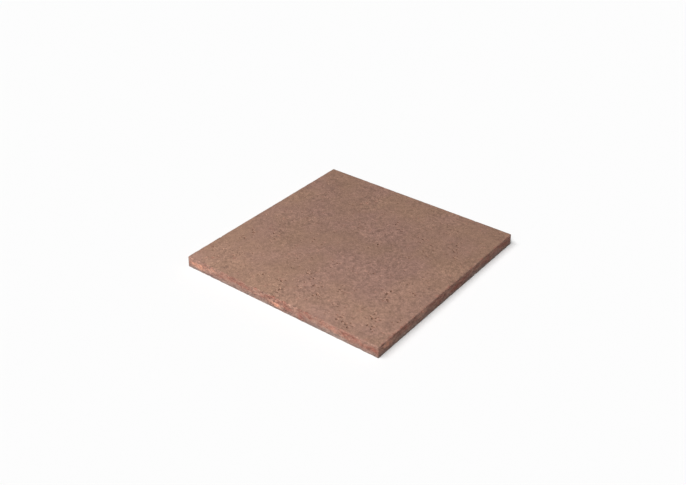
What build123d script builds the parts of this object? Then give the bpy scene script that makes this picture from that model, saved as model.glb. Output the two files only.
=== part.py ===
from build123d import *

import os
from math import atan2, degrees

# Square concrete paving slab, lying flat on its underside.
# Millimetres. The origin is the centre of the underside, +Z points up to the walking face,
# and X and Y run square to the four sides.

# Driving dimensions

BASE_SIDE = 600.0  # side of the square at the mould floor, before the lower arris is rolled
THICKNESS = 30.0  # underside to walking face
DRAFT_PER_SIDE = 0.7  # how far each side leans in over the thickness, to leave the mould
CORNER_RADIUS = 3.0  # upright corners, seen from above
TOP_ARRIS_RADIUS = 2.0  # rolled edge round the walking face
BED_ARRIS_RADIUS = 0.8  # edge round the underside, nearly sharp from the mould floor

# The mould's draft, as the angle between a side and the upright
DRAFT_ANGLE = degrees(atan2(DRAFT_PER_SIDE, THICKNESS))


def mould_outline():
    """The slab's outline at the mould floor: a square with slightly rounded corners."""
    return RectangleRounded(BASE_SIDE, BASE_SIDE, CORNER_RADIUS)


def drafted_block():
    """The cast block: the outline drawn up by the thickness, leaning in on every side."""
    return extrude(mould_outline(), amount=THICKNESS, taper=DRAFT_ANGLE)


def edges_round(block, height):
    """The closed run of edges that lies at one height: straight arrises and corner arcs."""
    return block.edges().filter_by_position(Axis.Z, height, height)


def paving_slab():
    """The finished slab: the drafted block with both of its runs of arris rolled over."""
    slab = drafted_block()
    slab = fillet(edges_round(slab, THICKNESS), TOP_ARRIS_RADIUS)
    slab = fillet(edges_round(slab, 0.0), BED_ARRIS_RADIUS)
    return slab


os.makedirs("parts", exist_ok=True)
export_step(paving_slab(), "parts/paving_slab.step")
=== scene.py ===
"""Square slab of pressed concrete, lying on a pale studio floor.

The block, its rolled arrises, its air pits and its chips are one closed mesh, built round the
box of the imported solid. Its two-tone colour and its sand are in one material.
Lengths are in metres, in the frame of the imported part, unless a name says otherwise.
"""

import random
from math import atan2, cos, hypot, pi, radians, sin, sqrt

import bmesh
import bpy
from bpy.props import (
    FloatProperty,
    FloatVectorProperty,
    IntProperty,
    PointerProperty,
)
from mathutils import Matrix, Vector, noise
from mathutils.kdtree import KDTree


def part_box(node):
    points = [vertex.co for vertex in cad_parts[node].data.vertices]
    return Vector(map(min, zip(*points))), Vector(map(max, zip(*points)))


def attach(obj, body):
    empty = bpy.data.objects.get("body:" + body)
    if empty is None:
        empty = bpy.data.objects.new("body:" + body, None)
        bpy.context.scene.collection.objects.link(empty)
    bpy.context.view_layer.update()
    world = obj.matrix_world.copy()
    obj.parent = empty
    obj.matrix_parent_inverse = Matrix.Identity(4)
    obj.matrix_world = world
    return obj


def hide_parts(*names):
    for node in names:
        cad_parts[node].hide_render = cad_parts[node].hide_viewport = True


bl_info = {
    "name": "Concrete paving slab",
    "version": (1, 0, 0),
    "blender": (4, 5, 0),
    "location": "3D View > Sidebar > Paving",
    "description": "Casts a concrete paving slab with its pits, chips and coloured skin",
    "category": "Object",
}

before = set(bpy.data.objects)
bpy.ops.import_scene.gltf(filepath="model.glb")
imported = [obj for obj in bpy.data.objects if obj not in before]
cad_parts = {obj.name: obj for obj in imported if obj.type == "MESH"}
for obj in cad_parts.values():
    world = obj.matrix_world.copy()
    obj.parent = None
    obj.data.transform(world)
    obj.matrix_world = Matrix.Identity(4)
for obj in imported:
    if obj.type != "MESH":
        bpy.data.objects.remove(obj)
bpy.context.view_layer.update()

MM = 0.001
NODE = "paving_slab"
LOW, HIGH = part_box(NODE)
HALF = (HIGH.x - LOW.x) / 2
TALL = HIGH.z - LOW.z
UP = Vector((0, 0, 1))
DOWN = Vector((0, 0, -1))

# The four sides, counted anticlockwise from the front: front, right, back, left
FRONT, RIGHT, BACK, LEFT = range(4)
OUTWARD = [Vector((cos(q * pi / 2 - pi / 2), sin(q * pi / 2 - pi / 2), 0)) for q in range(4)]
ALONG = [Vector((-out.y, out.x, 0)) for out in OUTWARD]

# Where air pits crowd on the walking face: X, Y, how far they spread, how many there are, and
# the radius of the largest, which is in the middle, all in millimetres
PIT_GROUPS_MM = (
    (225, -220, 10, 8, 4.4), (245, -245, 7, 5, 4.4), (165, -260, 9, 5, 4.4), (190, -275, 7, 5, 4.2),
    (195, -120, 8, 5, 4.0), (210, -140, 5, 3, 4.2), (245, -80, 7, 4, 3.8), (280, -195, 12, 5, 3.4),
    (65, -225, 6, 4, 4.6), (35, -200, 7, 4, 4.4), (10, -185, 8, 4, 3.8), (-10, -170, 6, 4, 4.0),
    (-40, -235, 7, 4, 4.0), (-20, -265, 7, 4, 4.0), (120, -70, 10, 4, 3.6), (20, -90, 9, 5, 3.8),
    (95, -175, 14, 5, 3.2), (240, 110, 6, 5, 3.9), (225, 135, 9, 7, 3.8), (215, 165, 8, 6, 3.6),
    (180, 75, 12, 9, 3.5), (150, 40, 8, 5, 3.4), (130, 135, 7, 4, 3.6), (50, 45, 6, 3, 3.9),
    (60, 135, 8, 5, 4.0), (30, 155, 6, 4, 3.8), (-25, 180, 6, 3, 3.4), (-125, 165, 10, 5, 3.4),
    (-245, -110, 6, 4, 4.6), (-245, -145, 10, 5, 3.8), (-200, -80, 14, 6, 3.8), (-180, -100, 8, 3, 3.6),
    (-210, -225, 14, 5, 3.2), (-95, -240, 14, 5, 3.2),
)

# Patches on the sides: side, distance along it from its middle, height, half length and half
# height in millimetres, and shade, from -1 for rich in pigment to 1 for pale
PATCHES_MM = (
    (FRONT, -265, 15, 40, 14, 0.75), (FRONT, -210, 22, 30, 8, 0.5), (FRONT, -205, 5, 26, 5, -0.9),
    (FRONT, 0, 11, 20, 8, 1.1), (FRONT, 75, 12, 18, 10, -0.9), (FRONT, 104, 5, 18, 5, -1.1),
    (FRONT, 165, 16, 34, 11, 0.5), (FRONT, 265, 13, 44, 13, -0.2),
    (RIGHT, -262, 19, 28, 12, 0.8), (RIGHT, -218, 16, 12, 12, -0.4), (RIGHT, -125, 21, 26, 9, 0.7),
    # The two long dark patches on the far half of the right side are painted shade: they make that end
    # of the side darker
    (RIGHT, -190, 6, 70, 6, 0.6), (RIGHT, 30, 16, 40, 14, -0.6), (RIGHT, 150, 13, 120, 16, -0.6),
    (RIGHT, 265, 12, 50, 14, -0.4),
    (BACK, -200, 12, 30, 9, 1.0), (BACK, -120, 15, 24, 9, -0.9), (BACK, -40, 20, 22, 8, 0.9),
    (BACK, 60, 12, 26, 9, -0.8), (BACK, 150, 10, 26, 9, 1.0), (BACK, 240, 18, 30, 9, -0.6),
    (LEFT, -220, 14, 24, 9, -0.9), (LEFT, -120, 19, 28, 8, 1.0), (LEFT, 10, 13, 24, 9, -0.9),
    (LEFT, 96, 9, 22, 9, 1.0), (LEFT, 165, 8, 26, 8, -0.6), (LEFT, 240, 16, 20, 9, 0.9),
)

# Larger chips: side, distance along it from its middle, half length and width of the
# broken face in millimetres
UPPER_CHIPS_MM = (
    (FRONT, -214, 4, 2.4), (FRONT, 141, 5, 2.5), (RIGHT, -150, 4, 2.4), (RIGHT, 236, 5, 2.5),
    (BACK, -190, 5, 2.6), (BACK, 70, 4, 2.4), (LEFT, -60, 4, 2.5), (LEFT, 180, 5, 2.6),
)
LOWER_CHIPS_MM = (
    (FRONT, -225, 6, 2.6), (FRONT, -140, 4, 2.0), (FRONT, 58, 5, 2.2), (FRONT, 246, 7, 2.8),
    (RIGHT, -236, 6, 2.6), (RIGHT, -70, 5, 2.2), (RIGHT, 118, 6, 2.6),
    (BACK, -100, 6, 2.8), (BACK, 210, 5, 2.4), (LEFT, -200, 6, 2.8), (LEFT, 40, 5, 2.4),
)


def linear(hex_colour):
    """An sRGB hex colour as linear red, green and blue."""
    parts = [int(hex_colour[i : i + 2], 16) / 255 for i in (1, 3, 5)]
    return [p / 12.92 if p <= 0.04045 else ((p + 0.055) / 1.055) ** 2.4 for p in parts]


def smooth_step(value):
    """Runs from 0 to 1 with level ends, for a value from 0 to 1."""
    t = min(max(value, 0.0), 1.0)
    return t * t * (3 - 2 * t)


class SlabSizes(bpy.types.PropertyGroup):
    """What a user would change about the slab's shape."""

    draft: FloatProperty(
        name="Draft", description="How far each side leans in, to leave the mould",
        default=0.7 * MM, min=0, unit="LENGTH",
    )
    corner_radius: FloatProperty(
        name="Corner radius", description="Rounding of the upright corners",
        default=3.0 * MM, min=0.5 * MM, unit="LENGTH",
    )
    upper_arris: FloatProperty(
        name="Upper arris", description="Radius of the edge round the walking face",
        default=2.0 * MM, min=0.2 * MM, unit="LENGTH",
    )
    lower_arris: FloatProperty(
        name="Lower arris", description="Radius of the edge round the underside",
        default=0.8 * MM, min=0.2 * MM, unit="LENGTH",
    )
    cell: FloatProperty(
        name="Cell", description="Spacing of the mesh away from pits and arrises",
        default=3.75 * MM, min=2.0 * MM, unit="LENGTH",
    )
    swell: FloatProperty(
        name="Swell", description="Depth of the broad hollows in the walking face",
        default=0.25 * MM, min=0, unit="LENGTH",
    )
    ripple: FloatProperty(
        name="Ripple", description="Depth of the small unevenness left by the sand",
        default=0.16 * MM, min=0, unit="LENGTH",
    )
    side_wave: FloatProperty(
        name="Side wave", description="Depth of the hollows along the four sides",
        default=0.4 * MM, min=0, unit="LENGTH",
    )
    pits: IntProperty(
        name="Small pits", description="Small air pits scattered over the walking face",
        default=300, min=0,
    )
    side_pits: IntProperty(
        name="Side pits", description="Air pits on each of the four sides",
        default=18, min=0,
    )
    seed: IntProperty(name="Seed", description="Picks another scatter of small pits", default=7)


class SlabColours(bpy.types.PropertyGroup):
    """The colours of the concrete."""

    skin: FloatVectorProperty(
        name="Skin", description="Brown cement skin of the walking face",
        subtype="COLOR", default=linear("#785D4E"),
    )
    pink_skin: FloatVectorProperty(
        name="Pink skin", description="Where the pigment shows through the skin",
        subtype="COLOR", default=linear("#785C52"),
    )
    red_mix: FloatVectorProperty(
        name="Red mix", description="The mix behind the skin, bare on the sides and in chips",
        subtype="COLOR", default=linear("#7D5F53"),
    )
    rich_mix: FloatVectorProperty(
        name="Rich mix", description="Where the red mix is rich in pigment",
        subtype="COLOR", default=linear("#6B3A30"),
    )
    patch: FloatVectorProperty(
        name="Pale patch", description="Salmon patches where the pigment is thin",
        subtype="COLOR", default=linear("#AC7762"),
    )
    grain: FloatVectorProperty(
        name="Sand grain", description="Pale sand grains in the skin",
        subtype="COLOR", default=linear("#A98672"),
    )
    dust: FloatVectorProperty(
        name="Dust", description="Grey dust along the foot of the sides and underneath",
        subtype="COLOR", default=linear("#70655F"),
    )
    hollow: FloatVectorProperty(
        name="Hollow", description="Dust and shade at the bottom of the pits",
        subtype="COLOR", default=linear("#5A3D30"),
    )


class StudioSettings(bpy.types.PropertyGroup):
    """The floor, the light and the camera."""

    floor_paint: FloatVectorProperty(
        name="Floor paint", description="Matt white paint of the studio floor",
        subtype="COLOR", default=linear("#F3F3F3"),
    )
    key_strength: FloatProperty(
        name="Key light", description="Strength of the soft row of lights in front",
        default=4.04, min=0,
    )
    key_spread: FloatProperty(
        name="Key spread", description="How wide each light of the row looks",
        default=radians(27), min=0, subtype="ANGLE",
    )
    sky_strength: FloatProperty(
        name="Fill light", description="Strength of the even light from all round",
        default=0.065, min=0,
    )
    panel_power: FloatProperty(
        name="Panel light", description="Power of the panel that lights the slab alone, in watts",
        default=8.4, min=0,
    )
    lens: FloatProperty(
        name="Lens", description="Focal length on a 36 mm wide sensor", default=48.36, min=10,
    )


# Two heights or lengths that differ by less than this are the same
TOUCH = 0.01 * MM


def round_edges(bm, edges, radius, segments):
    """Rolls a run of edges over to a radius."""
    bmesh.ops.bevel(
        bm, geom=edges, offset=radius, offset_type="OFFSET", segments=segments,
        profile=0.5, affect="EDGES", material=-1, clamp_overlap=True,
    )


def edges_at(bm, height):
    """The edges that lie at one height."""
    return [e for e in bm.edges if all(abs(v.co.z - height) < TOUCH for v in e.verts)]


def cast_block(bm, sizes):
    """The block as it leaves the mould: drafted sides, round corners and rolled arrises."""
    bmesh.ops.create_cube(bm, size=1.0)
    bmesh.ops.scale(bm, vec=HIGH - LOW, verts=bm.verts)
    bmesh.ops.translate(bm, vec=(LOW + HIGH) / 2, verts=bm.verts)
    lean = 1 - sizes.draft / HALF
    upper = [v for v in bm.verts if v.co.z > (LOW.z + HIGH.z) / 2]
    bmesh.ops.scale(bm, vec=(lean, lean, 1), verts=upper)
    upright = [e for e in bm.edges if abs(e.verts[0].co.z - e.verts[1].co.z) > TOUCH]
    round_edges(bm, upright, sizes.corner_radius, 3)
    round_edges(bm, edges_at(bm, HIGH.z), sizes.upper_arris, 4)
    round_edges(bm, edges_at(bm, LOW.z), sizes.lower_arris, 2)


def cut_into_cells(bm, cell):
    """Cuts the block into square cells, so that its faces can take relief."""
    for axis in range(3):
        start, stop = LOW[axis], HIGH[axis]
        count = round((stop - start) / cell)
        step = (stop - start) / count
        across = Vector([float(i == axis) for i in range(3)])
        for i in range(1, count):
            bmesh.ops.bisect_plane(
                bm, geom=bm.verts[:] + bm.edges[:] + bm.faces[:], dist=TOUCH / 10,
                plane_co=across * (start + i * step), plane_no=across,
            )


def depths(place, draft):
    """A place's depth under the walking face, its depth in from the nearest side, and that side."""
    under = HIGH.z - place.z
    lean = draft * (place.z - LOW.z) / TALL
    inside, side = min((HALF - lean - place.dot(OUTWARD[q]), q) for q in range(4))
    return under, inside, side


def divide(bm, faces, cuts, shortest):
    """Divides the edges of some faces, apart from the short ones."""
    edges = dict.fromkeys(e for f in faces for e in f.edges if e.calc_length() > shortest)
    bmesh.ops.subdivide_edges(bm, edges=list(edges), cuts=cuts, use_grid_fill=True)


def divide_seen_faces(bm, cell):
    """Divides the walking face and the sides once more than the underside."""
    seen = [f for f in bm.faces if f.calc_center_median().z > LOW.z + MM]
    divide(bm, seen, 1, 1.2 * cell)


def divide_arrises(bm, sizes):
    """Divides the cells along both arrises, where chips and wear need them finer."""
    near = []
    for face in bm.faces:
        under, inside, _ = depths(face.calc_center_median(), sizes.draft)
        over = TALL - under
        underneath = over <= sizes.lower_arris <= inside
        if inside < sizes.cell and min(under, over) < sizes.cell and not underneath:
            near.append(face)
    divide(bm, near, 2, sizes.cell / 2)


# Shape of an air pit, as shares of its radius: its depth, the depth of the first of a group, how
# oval and how ragged its rim is, how far its wall slopes inwards, how far outside its rim a
# highlight is painted, and how far from its middle that painted highlight can reach
PIT_DEPTH = 0.60
FIRST_PIT_DEPTH = 0.65
PIT_OVAL = 0.18
PIT_RAGGED = 0.35
PIT_WALL = 0.45
PIT_RIM_HIGHLIGHT = 0.50
PIT_REACH = 1.6


class Pit:
    """An air bubble that opened on a face of the slab."""

    def __init__(self, centre, inward, radius, turn, depth=PIT_DEPTH):
        self.centre = centre
        self.inward = inward
        self.radius = radius
        self.depth = radius * depth
        self.turn = turn

    def fraction(self, place):
        """How far a place is from the pit's middle, as a share of its ragged rim's distance."""
        off = place - self.centre
        off -= self.inward * off.dot(self.inward)
        first = UP if abs(self.inward.z) < 0.5 else Vector((1, 0, 0))
        second = self.inward.cross(first)
        angle = atan2(off.dot(second), off.dot(first)) + self.turn
        # The turn also picks a ragged outline that no other pit has
        ragged = noise.noise(Vector((cos(angle), sin(angle), self.turn * 7)) * 1.2)
        rim = 1 + PIT_OVAL * cos(2 * angle) + PIT_RAGGED * ragged
        return off.length / (self.radius * rim)


# No pit is nearer than this to an edge of the face that it is on
EDGE_ROOM = 8 * MM

# How far apart pits stand: those of one group, those scattered alone, and those of a side
GROUP_GAP = 0.5 * MM
LONE_GAP = 1.5 * MM
SIDE_GAP = 2.0 * MM

# Least and greatest radius of the lone pits of the face and of the sides, in millimetres
LONE_RADII_MM = (1.6, 2.8)
SIDE_RADII_MM = (0.9, 2.0)

# The face has more lone pits in some places than in others, which are about this wide
CROWD_SIZE = 75 * MM

# The sides have pits this far from both arrises
ARRIS_ROOM = 5 * MM


def clear_of(pits, centre, radius, gap):
    """Whether a pit would have room beside those already made."""
    return all((centre - p.centre).length > p.radius + radius + gap for p in pits)


def small_radius(draw, radii_mm):
    """A radius that is more often near the least of two than near the greatest."""
    least, greatest = radii_mm
    return (least + (greatest - least) * draw.random() ** 2) * MM


def add_grouped_pits(draw, pits, room):
    """Groups of pits on the walking face, the largest of each in its middle."""
    for x, y, spread, count, largest in PIT_GROUPS_MM:
        middle = Vector((x * MM, y * MM, HIGH.z))
        made = [Pit(middle, DOWN, largest * MM, draw.uniform(0, 2 * pi), FIRST_PIT_DEPTH)]
        while len(made) < count:
            centre = middle + Vector((draw.gauss(0, spread), draw.gauss(0, spread), 0)) * MM
            radius = largest * draw.uniform(0.5, 0.85) * MM
            turn = draw.uniform(0, 2 * pi)
            inside = max(abs(centre.x), abs(centre.y)) < room
            if inside and clear_of(pits + made, centre, radius, GROUP_GAP):
                made.append(Pit(centre, DOWN, radius, turn))
        pits += made


def add_lone_pits(draw, pits, room, count):
    """Small pits scattered over the walking face, alone or nearly so."""
    wanted = len(pits) + count
    while len(pits) < wanted:
        centre = Vector((draw.uniform(-room, room), draw.uniform(-room, room), HIGH.z))
        radius = small_radius(draw, LONE_RADII_MM)
        turn = draw.uniform(0, 2 * pi)
        crowd = 0.3 + 1.6 * noise.noise(centre / CROWD_SIZE)
        if clear_of(pits, centre, radius, LONE_GAP) and draw.random() < crowd:
            pits.append(Pit(centre, DOWN, radius, turn))


def add_side_pits(draw, pits, room, side, sizes):
    """Pits of one side, clear of both of its arrises."""
    made = []
    while len(made) < sizes.side_pits:
        radius = small_radius(draw, SIDE_RADII_MM)
        height = draw.uniform(ARRIS_ROOM, TALL - ARRIS_ROOM)
        middle = OUTWARD[side] * (HALF - sizes.draft * height / TALL)
        centre = middle + ALONG[side] * draw.uniform(-room, room) + UP * (LOW.z + height)
        turn = draw.uniform(0, 2 * pi)
        if clear_of(made, centre, radius, SIDE_GAP):
            made.append(Pit(centre, -OUTWARD[side], radius, turn))
    pits += made


def all_pits(sizes):
    """Every pit of the slab: the groups, and a seeded scatter of small ones."""
    draw = random.Random(sizes.seed)
    room = HALF - EDGE_ROOM
    pits = []
    add_grouped_pits(draw, pits, room)
    add_lone_pits(draw, pits, room, sizes.pits)
    for side in range(4):
        add_side_pits(draw, pits, room, side, sizes)
    return pits


def finder(pits):
    """A tree that finds pits by place."""
    tree = KDTree(len(pits))
    for i, pit in enumerate(pits):
        tree.insert(pit.centre, i)
    tree.balance()
    return tree


# How the mesh gets finer towards a pit: number of cuts, how far outside the rim they start,
# and the smallest pit that gets them
PIT_CUTS = ((2, 1.6 * MM, 0.0), (1, 0.4 * MM, 3.0 * MM))


def divide_round_pits(bm, pits):
    """Makes the mesh finer step by step towards each pit's rim."""
    tree = finder(pits)
    widest = max(p.radius for p in pits)
    for cuts, outside, smallest in PIT_CUTS:
        near = []
        for face in bm.faces:
            centre = face.calc_center_median()
            for _, i, gap in tree.find_range(centre, widest + outside):
                radius = pits[i].radius
                if gap < radius + outside and radius > smallest:
                    near.append(face)
                    break
        divide(bm, near, cuts, 0.5 * MM)


# Random waves that make each surface uneven: their size in millimetres and their share
FACE_HOLLOWS = ((130, 1.0), (42, 0.5))
FACE_SAND = ((19, 0.6), (8, 0.4))
SIDE_HOLLOWS = ((30, 1.0),)
SIDE_SAND = ((14, 1.0), (6, 0.7))
UNDERSIDE_GRAIN = ((22, 1.0), (8, 0.5))
SKIN_REACH = ((60, 1.0),)
WEAR = ((17, 0.9), (5, 0.5))
CHIP_GRAIN = ((2.2, 0.5),)
PIT_FLOOR = ((1.1, 0.25),)

# How far from the arrises the unevenness of the face, the sides and the underside is at its full
FACE_MARGIN = 12 * MM
SIDE_MARGIN = 4 * MM
UNDERSIDE_MARGIN = 8 * MM

# How deep the grain of the mould floor is pressed into the underside
UNDERSIDE_DEPTH = 0.12 * MM

# How bare of its brown skin the concrete is: at most on the walking face, which is near its
# arris, at least on the sides, and on the underside
FACE_BARENESS = 0.45
SIDE_BARENESS = 0.45
UNDERSIDE_BARENESS = 0.30
BARE_RIM = 9 * MM

# A break as wide as this is quite bare of skin
BARE_CHIP = 3 * MM

# How far in from its sides the slab dries paler than in its middle, and how wide and how dark
# the band of painted shade along its upper arris is, which dulls the light the rolled arris catches
DRY_RIM = 200 * MM
ARRIS_SHADE_WIDTH = 4 * MM
ARRIS_SHADE_DARK = 1.6


def uneven(place, waves):
    """The sum of some random waves at a place."""
    return sum(share * noise.noise(place / (size * MM)) for size, share in waves)


def face_relief(place, inside, sizes):
    """Walking face: how its hollows and sand move a place, and how bare of skin it is."""
    hollow = sizes.swell * (0.5 + uneven(place, FACE_HOLLOWS) / 3)
    sand = sizes.ripple * max(0.0, 0.6 + uneven(place, FACE_SAND))
    moved = DOWN * (hollow * smooth_step(inside / FACE_MARGIN) + sand)
    return moved, FACE_BARENESS * (1 - smooth_step(inside / BARE_RIM))


def side_relief(place, under, side, sizes):
    """A side: how its hollows and sand move a place, and how bare of skin it is."""
    hollow = sizes.side_wave * max(0.0, 0.5 + uneven(place, SIDE_HOLLOWS))
    sand = 0.7 * sizes.ripple * max(0.0, 1 + uneven(place, SIDE_SAND))
    clear = smooth_step((TALL - under) / SIDE_MARGIN) * smooth_step(under / SIDE_MARGIN)
    skin_end = max(3.0, 9 + 16 * uneven(place, SKIN_REACH)) * MM
    bare = SIDE_BARENESS + (1 - SIDE_BARENESS) * smooth_step(under / skin_end)
    return OUTWARD[side] * (-clear * (hollow + sand)), bare


def underside_relief(place, inside):
    """Underside: how the grain of the mould floor moves a place, and how bare of skin it is."""
    grain = UNDERSIDE_DEPTH * max(0.0, 0.6 + uneven(place, UNDERSIDE_GRAIN))
    return UP * (grain * smooth_step(inside / UNDERSIDE_MARGIN)), UNDERSIDE_BARENESS


def pit_relief(place, pits, tree, reach):
    """How the pits near a place move it, and how it looks: 1 deep in a pit, -1 beside a rim, where a
    highlight is painted.
    """
    moved, pit = Vector((0, 0, 0)), 0.0
    for _, i, _ in tree.find_range(place, reach):
        fraction = pits[i].fraction(place)
        if fraction < 1:
            sunk = smooth_step((1 - fraction) / PIT_WALL)
            moved += pits[i].inward * (pits[i].depth * sunk * (1 + uneven(place, PIT_FLOOR)))
            pit = max(pit, sunk)
        # Beside the rim: the material paints a highlight here
        elif pit <= 0:
            pit = min(pit, smooth_step((fraction - 1) / PIT_RIM_HIGHLIGHT) - 1)
    return moved, pit


def chip_width(chips, side, along):
    """Width of the broken face at a place along one side's arris."""
    widest = 0.0
    for at, middle, half, width in chips:
        off = (along / MM - middle) / half
        if at == side and abs(off) < 1:
            widest = max(widest, width * sqrt(1 - off * off))
    return widest * MM


def worn_width(side, along):
    """Width of the light wear that runs along every arris, each side with its own."""
    return (1.35 + uneven(Vector((along, side * 0.9, 0)), WEAR)) * MM


def break_arris(place, under, inside, side, chips, towards):
    """Moves a place back to the broken face, and says how bare of skin the break is."""
    along = place.dot(ALONG[side])
    chip = chip_width(chips, side, along)
    wide = max(chip, worn_width(side, along))
    if chip:
        wide += uneven(place, CHIP_GRAIN) * MM
    short = wide - under - inside
    if short <= 0:
        return Vector((0, 0, 0)), 0.0
    back = (towards - OUTWARD[side]) * (short / 2)
    return back, min(1.0, chip / BARE_CHIP)


def patch_shade(place, side):
    """Shade of the patches at a place on a side."""
    along, height = place.dot(ALONG[side]) / MM, (place.z - LOW.z) / MM
    shade = 0.0
    for at, middle, level, half, rise, strength in PATCHES_MM:
        if at == side:
            off = hypot((along - middle) / half, (height - level) / rise)
            shade += strength * (1 - smooth_step(off / 1.4))
    return shade


def shape_relief(bm, pits, sizes):
    """Presses pits, wears and chips the arrises, and stores where each shows for the material."""
    tree = finder(pits)
    reach = PIT_REACH * max(p.radius for p in pits)
    pit_layer = bm.verts.layers.float.new("pit")
    bare_layer = bm.verts.layers.float.new("bare")
    shade_layer = bm.verts.layers.float.new("shade")
    dry_and_arris_shade_layer = bm.verts.layers.float.new("dry_and_arris_shade")
    for vert in bm.verts:
        place = vert.co.copy()
        under, inside, side = depths(place, sizes.draft)
        over = TALL - under

        if under < min(inside, over):
            moved, bare = face_relief(place, inside, sizes)
        elif inside < over:
            moved, bare = side_relief(place, under, side, sizes)
        else:
            moved, bare = underside_relief(place, inside)

        sunk, vert[pit_layer] = pit_relief(place, pits, tree, reach)
        moved += sunk

        if max(under, inside) < sizes.cell:
            back, fresh = break_arris(place, under, inside, side, UPPER_CHIPS_MM, DOWN)
            moved, bare = moved + back, max(bare, fresh)
        if max(over, inside) < sizes.cell:
            back, fresh = break_arris(place, over, inside, side, LOWER_CHIPS_MM, UP)
            moved, bare = moved + back, max(bare, fresh)

        vert.co = place + moved
        vert[bare_layer] = bare
        if inside < max(2 * MM, min(under, over)):
            vert[shade_layer] = patch_shade(place, side)
        # Paler where the slab dries first, and painted shade in a band along the upper arris
        arris_shade = 1 - smooth_step(hypot(under, inside) / ARRIS_SHADE_WIDTH)
        vert[dry_and_arris_shade_layer] = 1 - smooth_step(inside / DRY_RIM) - ARRIS_SHADE_DARK * arris_shade


def lay_out_map(bm, sizes):
    """Lays the walking face, the underside and the four sides side by side on one UV map."""
    layer = bm.loops.layers.uv.new("OFBake")
    # Shares of the map: the gaps, the walking face, the height of a side and the underside
    margin, top_width, strip = 0.006, 0.70, 0.052
    low_width = 1 - top_width - 3 * margin
    for face in bm.faces:
        under, inside, side = depths(face.calc_center_median(), sizes.draft)
        over = TALL - under
        for loop in face.loops:
            co = loop.vert.co
            across, deep = (co.x - LOW.x) / (2 * HALF), (co.y - LOW.y) / (2 * HALF)
            if under < min(inside, over):
                uv = (margin + top_width * across, margin + top_width * deep)
            elif over < inside:
                uv = (2 * margin + top_width + low_width * (1 - across), margin + low_width * deep)
            else:
                along = (co.dot(ALONG[side]) + HALF) / (2 * HALF)
                base = top_width + 2 * margin + side * (strip + 3 * margin)
                uv = (margin + top_width * along, base + strip * (co.z - LOW.z) / TALL)
            loop[layer].uv = uv


def build_slab_mesh(sizes):
    """The whole slab as one closed mesh."""
    bm = bmesh.new()
    cast_block(bm, sizes)
    cut_into_cells(bm, 2 * sizes.cell)
    divide_seen_faces(bm, sizes.cell)
    divide_arrises(bm, sizes)
    pits = all_pits(sizes)
    divide_round_pits(bm, pits)
    lay_out_map(bm, sizes)
    shape_relief(bm, pits, sizes)
    bmesh.ops.triangulate(bm, faces=[f for f in bm.faces if len(f.verts) > 4])
    bmesh.ops.recalc_face_normals(bm, faces=bm.faces)
    if any(len(e.link_faces) != 2 for e in bm.edges):
        raise RuntimeError("the slab's mesh is not closed")
    mesh = bpy.data.meshes.new(NODE)
    bm.to_mesh(mesh)
    bm.free()
    mesh.shade_smooth()
    return mesh


def add_node(tree, kind, settings=None, inputs=None):
    """Adds a node, sets its options, and fills or links its inputs."""
    node = tree.nodes.new(kind)
    for name, value in (settings or {}).items():
        setattr(node, name, value)
    for name, value in (inputs or {}).items():
        if isinstance(value, bpy.types.NodeSocket):
            tree.links.new(value, node.inputs[name])
        else:
            node.inputs[name].default_value = value
    return node


# Brightness patterns of the concrete: what it is, its size in millimetres, how much finer
# detail it carries, how strong that is, and how far it swings the brightness of the skin
# and of the red mix
TONE_PATTERNS = (
    ("drying of the cement", 150.0, 2.0, 0.5, 0.16, 0.10),
    ("clouding of the cement", 50.0, 2.0, 0.5, 0.28, 0.30),
    ("blotches of the press", 18.0, 2.0, 0.5, 0.18, 0.50),
    ("coarse sand", 8.0, 2.0, 0.50, 0.88, 1.50),
    ("fine sand", 3.2, 2.0, 0.60, 0.70, 1.60),
    ("finest sand", 1.3, 1.0, 0.50, 0.60, 0.90),
)


def concrete_tones(tree, place, layered, dry_and_arris_shade):
    """Brightness of the skin and of the red mix, and the patterns that both are made from."""
    # The face is open and sandy in places about 85 mm wide, and closed between them
    open_face = add_node(
        tree, "ShaderNodeTexNoise", {"label": "open and closed face"},
        {"Vector": place, "Scale": 1000 / 85, "Detail": 1.0},
    ).outputs[0]
    sandiness = add_node(
        tree, "ShaderNodeMapRange", {},
        {"Value": open_face, "From Min": 0.35, "From Max": 0.65, "To Min": 0.6, "To Max": 1.4},
    ).outputs[0]

    # The slab dries from its sides inwards, so the middle of the face stays a little darker, and a
    # band along the upper arris is painted darker still, as painted shade that dulls the light it
    # catches
    skin_tone = mix_tone = add_node(
        tree, "ShaderNodeMath", {"operation": "MULTIPLY_ADD"}, {0: dry_and_arris_shade, 1: 0.065, 2: 1.045}
    ).outputs[0]

    patterns = {}
    for name, size, detail, rough, skin_swing, mix_swing in TONE_PATTERNS:
        patterns[name] = add_node(
            tree, "ShaderNodeTexNoise", {"label": name},
            {"Vector": layered, "Scale": 1000 / size, "Detail": detail, "Roughness": rough},
        ).outputs[0]
        off = add_node(
            tree, "ShaderNodeMath", {"operation": "SUBTRACT"}, {0: patterns[name], 1: 0.5}
        ).outputs[0]
        if name.endswith("sand"):
            off = add_node(
                tree, "ShaderNodeMath", {"operation": "MULTIPLY"}, {0: off, 1: sandiness}
            ).outputs[0]
        skin_tone = add_node(
            tree, "ShaderNodeMath", {"operation": "MULTIPLY_ADD"},
            {0: off, 1: skin_swing, 2: skin_tone},
        ).outputs[0]
        mix_tone = add_node(
            tree, "ShaderNodeMath", {"operation": "MULTIPLY_ADD"},
            {0: off, 1: mix_swing, 2: mix_tone},
        ).outputs[0]
    return skin_tone, mix_tone, patterns


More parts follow.
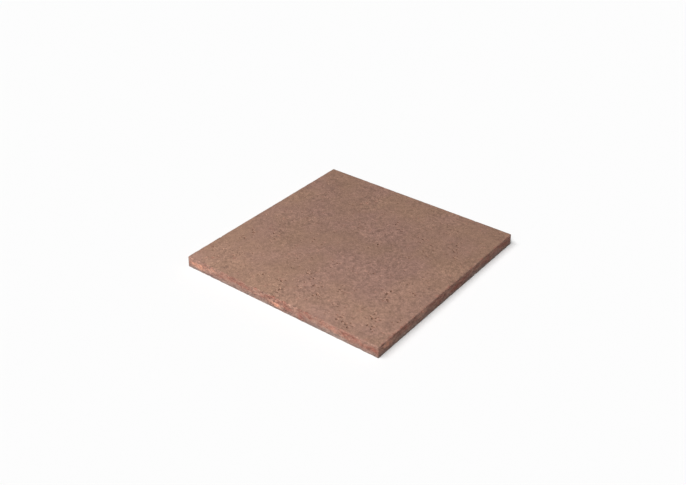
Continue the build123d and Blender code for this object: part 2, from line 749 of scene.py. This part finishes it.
def skin_colour(tree, colours, place, dry_and_arris_shade):
    """Skin: brown, with pinker places about 110 mm wide, most of them where it dries last."""
    hue = add_node(
        tree, "ShaderNodeTexNoise", {"label": "pigment in the skin"},
        {"Vector": place, "Scale": 1000 / 110, "Detail": 3.0},
    ).outputs[0]
    damp_hue = add_node(
        tree, "ShaderNodeMath", {"operation": "MULTIPLY_ADD"}, {0: dry_and_arris_shade, 1: -0.14, 2: hue}
    ).outputs[0]
    pink_share = add_node(
        tree, "ShaderNodeMapRange", {}, {"Value": damp_hue, "From Min": 0.30, "From Max": 0.62}
    ).outputs[0]
    return add_node(
        tree, "ShaderNodeMix", {"data_type": "RGBA"},
        {0: pink_share, 6: (*colours.skin, 1), 7: (*colours.pink_skin, 1)},
    ).outputs[2]


def red_mix_colour(tree, colours, layered, ragged):
    """Red mix: rich in pigment in streaks about 22 mm long, and salmon where it is thin."""
    streaks = add_node(
        tree, "ShaderNodeTexNoise", {"label": "streaks of pigment"},
        {"Vector": layered, "Scale": 1000 / 22, "Detail": 3.0},
    ).outputs[0]
    shade = add_node(tree, "ShaderNodeAttribute", {"attribute_name": "shade"}).outputs["Fac"]
    rich_shade = add_node(
        tree, "ShaderNodeMath", {"operation": "MULTIPLY_ADD"}, {0: shade, 1: -0.25, 2: streaks}
    ).outputs[0]
    rich_share = add_node(
        tree, "ShaderNodeMapRange", {}, {"Value": rich_shade, "From Min": 0.36, "From Max": 0.80}
    ).outputs[0]
    mix = add_node(
        tree, "ShaderNodeMix", {"data_type": "RGBA"},
        {0: rich_share, 6: (*colours.red_mix, 1), 7: (*colours.rich_mix, 1)},
    ).outputs[2]
    pale_shade = add_node(
        tree, "ShaderNodeMath", {"operation": "MULTIPLY_ADD"}, {0: ragged, 1: 1.6, 2: shade}
    ).outputs[0]
    pale_share = add_node(
        tree, "ShaderNodeMapRange", {"interpolation_type": "SMOOTHSTEP"},
        {"Value": pale_shade, "From Min": 1.0, "From Max": 1.9},
    ).outputs[0]
    return add_node(
        tree, "ShaderNodeMix", {"data_type": "RGBA"},
        {0: pale_share, 6: mix, 7: (*colours.patch, 1)},
    ).outputs[2]


def bare_share(tree, ragged):
    """Where the mix is bare: the skin runs a little way down the sides, and ends raggedly."""
    bare = add_node(tree, "ShaderNodeAttribute", {"attribute_name": "bare"}).outputs["Fac"]
    ragged_bare = add_node(
        tree, "ShaderNodeMath", {"operation": "MULTIPLY_ADD"}, {0: ragged, 1: 2.0, 2: bare}
    ).outputs[0]
    return add_node(
        tree, "ShaderNodeMapRange", {"interpolation_type": "SMOOTHSTEP"},
        {"Value": ragged_bare, "From Min": 1.15, "From Max": 1.75},
    ).outputs[0]


def show_grains(tree, colours, patterns, colour):
    """Pale sand grains that show through the surface."""
    share = add_node(
        tree, "ShaderNodeMapRange", {},
        {"Value": patterns["finest sand"], "From Min": 0.58, "From Max": 0.72, "To Max": 0.6},
    ).outputs[0]
    return add_node(
        tree, "ShaderNodeMix", {"data_type": "RGBA"}, {0: share, 6: colour, 7: (*colours.grain, 1)}
    ).outputs[2]


def show_pits(tree, colours, colour, tone):
    """Pits: a painted highlight round the rim, and dust and shade inside."""
    pit = add_node(tree, "ShaderNodeAttribute", {"attribute_name": "pit"}).outputs["Fac"]
    # Painted highlight: the tone is raised round the rim of each pit
    rim_highlight = add_node(
        tree, "ShaderNodeMapRange", {},
        {"Value": pit, "From Min": -1.0, "From Max": 0.0, "To Min": 0.15, "To Max": 0.0},
    ).outputs[0]
    tone = add_node(tree, "ShaderNodeMath", {"operation": "ADD"}, {0: tone, 1: rim_highlight}).outputs[0]
    sunk = add_node(
        tree, "ShaderNodeMapRange", {}, {"Value": pit, "From Min": 0.0, "From Max": 0.6, "To Max": 0.6}
    ).outputs[0]
    colour = add_node(
        tree, "ShaderNodeMix", {"data_type": "RGBA"}, {0: sunk, 6: colour, 7: (*colours.hollow, 1)}
    ).outputs[2]
    return colour, tone


def show_dust_and_darker_foot(tree, colours, place, patterns, colour, tone):
    """The foot of the sides: grey dust that reaches up about 15 mm, and a tone that gets darker
    downwards.
    """
    height = add_node(tree, "ShaderNodeSeparateXYZ", {}, {0: place}).outputs[2]
    over_dust = add_node(
        tree, "ShaderNodeMath", {"operation": "MULTIPLY_ADD"},
        {0: patterns["clouding of the cement"], 1: -40 * MM, 2: height},
    ).outputs[0]
    share = add_node(
        tree, "ShaderNodeMapRange", {},
        {"Value": over_dust, "From Min": -20 * MM, "From Max": -5 * MM, "To Min": 0.7, "To Max": 0.0},
    ).outputs[0]
    colour = add_node(
        tree, "ShaderNodeMix", {"data_type": "RGBA"}, {0: share, 6: colour, 7: (*colours.dust, 1)}
    ).outputs[2]
    # Darker towards the bottom of the sides, over the lowest 14 mm
    foot = add_node(
        tree, "ShaderNodeMapRange", {},
        {"Value": height, "From Min": 0.0, "From Max": 14 * MM, "To Min": 0.88, "To Max": 1.0},
    ).outputs[0]
    tone = add_node(
        tree, "ShaderNodeMath", {"operation": "MULTIPLY"}, {0: tone, 1: foot}
    ).outputs[0]
    return colour, tone


def grit(tree, patterns):
    """Grit that stands about a fifth of a millimetre proud, as the way the surface faces."""
    coarse = add_node(
        tree, "ShaderNodeMath", {"operation": "MULTIPLY_ADD"},
        {0: patterns["coarse sand"], 1: 1.5, 2: patterns["fine sand"]},
    ).outputs[0]
    height = add_node(
        tree, "ShaderNodeMath", {"operation": "MULTIPLY_ADD"},
        {0: patterns["finest sand"], 1: 0.5, 2: coarse},
    ).outputs[0]
    return add_node(
        tree, "ShaderNodeBump", {}, {"Height": height, "Strength": 0.6, "Distance": 0.6 * MM}
    ).outputs[0]


def pressed_concrete(colours):
    """Dry-pressed, through-coloured concrete: a matt, sandy face that never shines.

    The cement skin of the walking face is browner than the red mix behind it, which shows on
    the sides and wherever an arris is chipped. Where its pigment is thin, the mix dries to a pale
    salmon.
    """
    material = bpy.data.materials.new("pressed coloured concrete")
    material.use_nodes = True
    tree = material.node_tree
    tree.nodes.clear()
    place = add_node(tree, "ShaderNodeTexCoord").outputs["Object"]
    # Paleness where the slab dries first, and painted shade along the upper arris
    dry_and_arris_shade = add_node(tree, "ShaderNodeAttribute", {"attribute_name": "dry_and_arris_shade"}).outputs["Fac"]

    # The mix lies in layers, so its patterns are half as tall as they are long
    layered = add_node(
        tree, "ShaderNodeMapping", {}, {"Vector": place, "Scale": (1, 1, 2)}
    ).outputs[0]
    ragged = add_node(
        tree, "ShaderNodeTexNoise", {"label": "ragged edges"},
        {"Vector": layered, "Scale": 1000 / 13, "Detail": 3.0},
    ).outputs[0]

    skin_tone, mix_tone, patterns = concrete_tones(tree, place, layered, dry_and_arris_shade)
    skin = skin_colour(tree, colours, place, dry_and_arris_shade)
    mix = red_mix_colour(tree, colours, layered, ragged)
    bare = bare_share(tree, ragged)
    colour = add_node(
        tree, "ShaderNodeMix", {"data_type": "RGBA"}, {0: bare, 6: skin, 7: mix}
    ).outputs[2]
    tone = add_node(
        tree, "ShaderNodeMix", {"data_type": "FLOAT"}, {0: bare, 2: skin_tone, 3: mix_tone}
    ).outputs[0]
    colour = show_grains(tree, colours, patterns, colour)
    colour, tone = show_pits(tree, colours, colour, tone)
    colour, tone = show_dust_and_darker_foot(tree, colours, place, patterns, colour, tone)
    toned = add_node(
        tree, "ShaderNodeHueSaturation", {}, {"Value": tone, "Color": colour}
    ).outputs[0]
    surface = add_node(
        tree, "ShaderNodeBsdfPrincipled", {},
        {
            "Base Color": toned, "Roughness": 0.9, "Specular IOR Level": 0.25,
            "Normal": grit(tree, patterns),
        },
    ).outputs[0]
    add_node(tree, "ShaderNodeOutputMaterial", {}, {"Surface": surface})
    return material


def studio_floor_paint(colour):
    """Matt white studio paint: it sends light back up the sides and takes a soft shadow."""
    material = bpy.data.materials.new("matt white floor paint")
    material.use_nodes = True
    tree = material.node_tree
    tree.nodes.clear()
    surface = add_node(
        tree, "ShaderNodeBsdfPrincipled", {},
        {"Base Color": (*colour, 1), "Roughness": 1.0, "Specular IOR Level": 0.0},
    ).outputs[0]
    add_node(tree, "ShaderNodeOutputMaterial", {}, {"Surface": surface})
    return material


def white_studio(strength):
    """A white room: it lights the slab faintly, and looks as white as the floor."""
    world = bpy.data.worlds.new("white studio")
    world.use_nodes = True
    tree = world.node_tree
    tree.nodes.clear()
    seen = add_node(tree, "ShaderNodeLightPath").outputs["Is Camera Ray"]
    level = add_node(
        tree, "ShaderNodeMix", {"data_type": "FLOAT"}, {0: seen, 2: strength, 3: 1.0}
    ).outputs[0]
    background = add_node(
        tree, "ShaderNodeBackground", {}, {"Color": (*linear("#FFFFFF"), 1), "Strength": level}
    ).outputs[0]
    add_node(tree, "ShaderNodeOutputWorld", {}, {"Surface": background})
    return world


class PAVING_OT_slab(bpy.types.Operator):
    """Casts the slab, with its pits, chips and coloured skin"""

    bl_idname = "paving.slab"
    bl_label = "Cast slab"

    def execute(self, context):
        scene = context.scene
        slab = bpy.data.objects.new("slab", build_slab_mesh(scene.slab_sizes))
        scene.collection.objects.link(slab)
        slab.data.materials.append(pressed_concrete(scene.slab_colours))
        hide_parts(NODE)
        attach(slab, "root")
        return {"FINISHED"}


# Where the camera stands and how it looks, from the slab's own perspective in the photograph
CAMERA_PLACE = Vector((1.2089, -1.6032, 1.3224))
CAMERA_HEADING = radians(37.735)
CAMERA_DOWN = radians(32.612)
CAMERA_ROLL = radians(0.03)
SENSOR_WIDTH_MM = 36.0
FLOOR_SIZE = 24.0

# The key light is a row of three, from left to right: how far each stands to the right of
# straight ahead, as a share of its distance, how high it stands, and its share of the strength
KEY_LIGHTS = (
    (-0.40, radians(68), 0.30), (-0.02, radians(62), 0.31), (0.25, radians(46), 0.39),
)

# A small panel in front lights the slab alone, so that its near edge is the brightest
PANEL_PLACE = Vector((-0.14, -0.82, 0.58))
PANEL_WIDTH = 1.4
PANEL_DEPTH = 0.3


def lay_floor(scene, studio):
    """A wide, flat, white floor."""
    bm = bmesh.new()
    bmesh.ops.create_grid(bm, x_segments=1, y_segments=1, size=FLOOR_SIZE / 2)
    mesh = bpy.data.meshes.new("floor")
    bm.to_mesh(mesh)
    bm.free()
    mesh.materials.append(studio_floor_paint(studio.floor_paint))
    floor = bpy.data.objects.new("floor", mesh)
    scene.collection.objects.link(floor)


def hang_key_lights(scene, studio):
    """The soft row of lights in front, each aimed at the slab."""
    for sideways, rise, share in KEY_LIGHTS:
        light = bpy.data.lights.new("key light", "SUN")
        light.energy = studio.key_strength * share
        light.angle = studio.key_spread
        ahead = sqrt(1 - sideways**2)
        source = Vector((sideways, -ahead * cos(rise), ahead * sin(rise)))
        key = bpy.data.objects.new("key light", light)
        key.rotation_euler = source.to_track_quat("Z", "Y").to_euler()
        scene.collection.objects.link(key)


def hang_panel_light(scene, studio):
    """The small panel that lights the slab and not the floor."""
    light = bpy.data.lights.new("panel light", "AREA")
    light.energy = studio.panel_power
    light.shape = "RECTANGLE"
    light.size = PANEL_WIDTH
    light.size_y = PANEL_DEPTH
    panel = bpy.data.objects.new("panel light", light)
    panel.location = PANEL_PLACE
    panel.rotation_euler = PANEL_PLACE.to_track_quat("Z", "Y").to_euler()
    scene.collection.objects.link(panel)
    lit = bpy.data.collections.new("lit by the panel")
    lit.objects.link(scene.objects["slab"])
    panel.light_linking.receiver_collection = lit


def set_camera(scene, studio):
    """The camera, at the photograph's viewing angle."""
    lens = bpy.data.cameras.new("camera")
    lens.lens = studio.lens
    lens.sensor_width = SENSOR_WIDTH_MM
    camera = bpy.data.objects.new("camera", lens)
    turn = (
        Matrix.Rotation(CAMERA_HEADING, 4, "Z")
        @ Matrix.Rotation(pi / 2 - CAMERA_DOWN, 4, "X")
        @ Matrix.Rotation(CAMERA_ROLL, 4, "Z")
    )
    camera.matrix_world = Matrix.Translation(CAMERA_PLACE) @ turn
    scene.collection.objects.link(camera)
    scene.camera = camera


class PAVING_OT_studio(bpy.types.Operator):
    """Sets the pale floor, the soft light and the camera"""

    bl_idname = "paving.studio"
    bl_label = "Set studio"

    def execute(self, context):
        scene = context.scene
        studio = scene.slab_studio
        lay_floor(scene, studio)
        scene.world = white_studio(studio.sky_strength)
        hang_key_lights(scene, studio)
        hang_panel_light(scene, studio)
        set_camera(scene, studio)
        scene.view_settings.view_transform = "Standard"
        return {"FINISHED"}


class PAVING_PT_panel(bpy.types.Panel):
    """Lists the slab's operators and settings"""

    bl_label = "Paving slab"
    bl_idname = "PAVING_PT_panel"
    bl_space_type = "VIEW_3D"
    bl_region_type = "UI"
    bl_category = "Paving"

    def draw(self, context):
        for operator in OPERATORS:
            self.layout.operator(operator.bl_idname)
        for name in SETTINGS:
            settings = getattr(context.scene, name)
            column = self.layout.column()
            for key in settings.__annotations__:
                column.prop(settings, key)


SETTINGS = {"slab_sizes": SlabSizes, "slab_colours": SlabColours, "slab_studio": StudioSettings}
OPERATORS = (PAVING_OT_slab, PAVING_OT_studio)
CLASSES = (*SETTINGS.values(), *OPERATORS, PAVING_PT_panel)


def register():
    for cls in CLASSES:
        bpy.utils.register_class(cls)
    for name, settings in SETTINGS.items():
        setattr(bpy.types.Scene, name, PointerProperty(type=settings))


def unregister():
    for name in SETTINGS:
        delattr(bpy.types.Scene, name)
    for cls in reversed(CLASSES):
        bpy.utils.unregister_class(cls)


def main():
    """Builds the slab and its studio."""
    register()
    bpy.ops.paving.slab()
    bpy.ops.paving.studio()


if __name__ == "__main__":
    main()
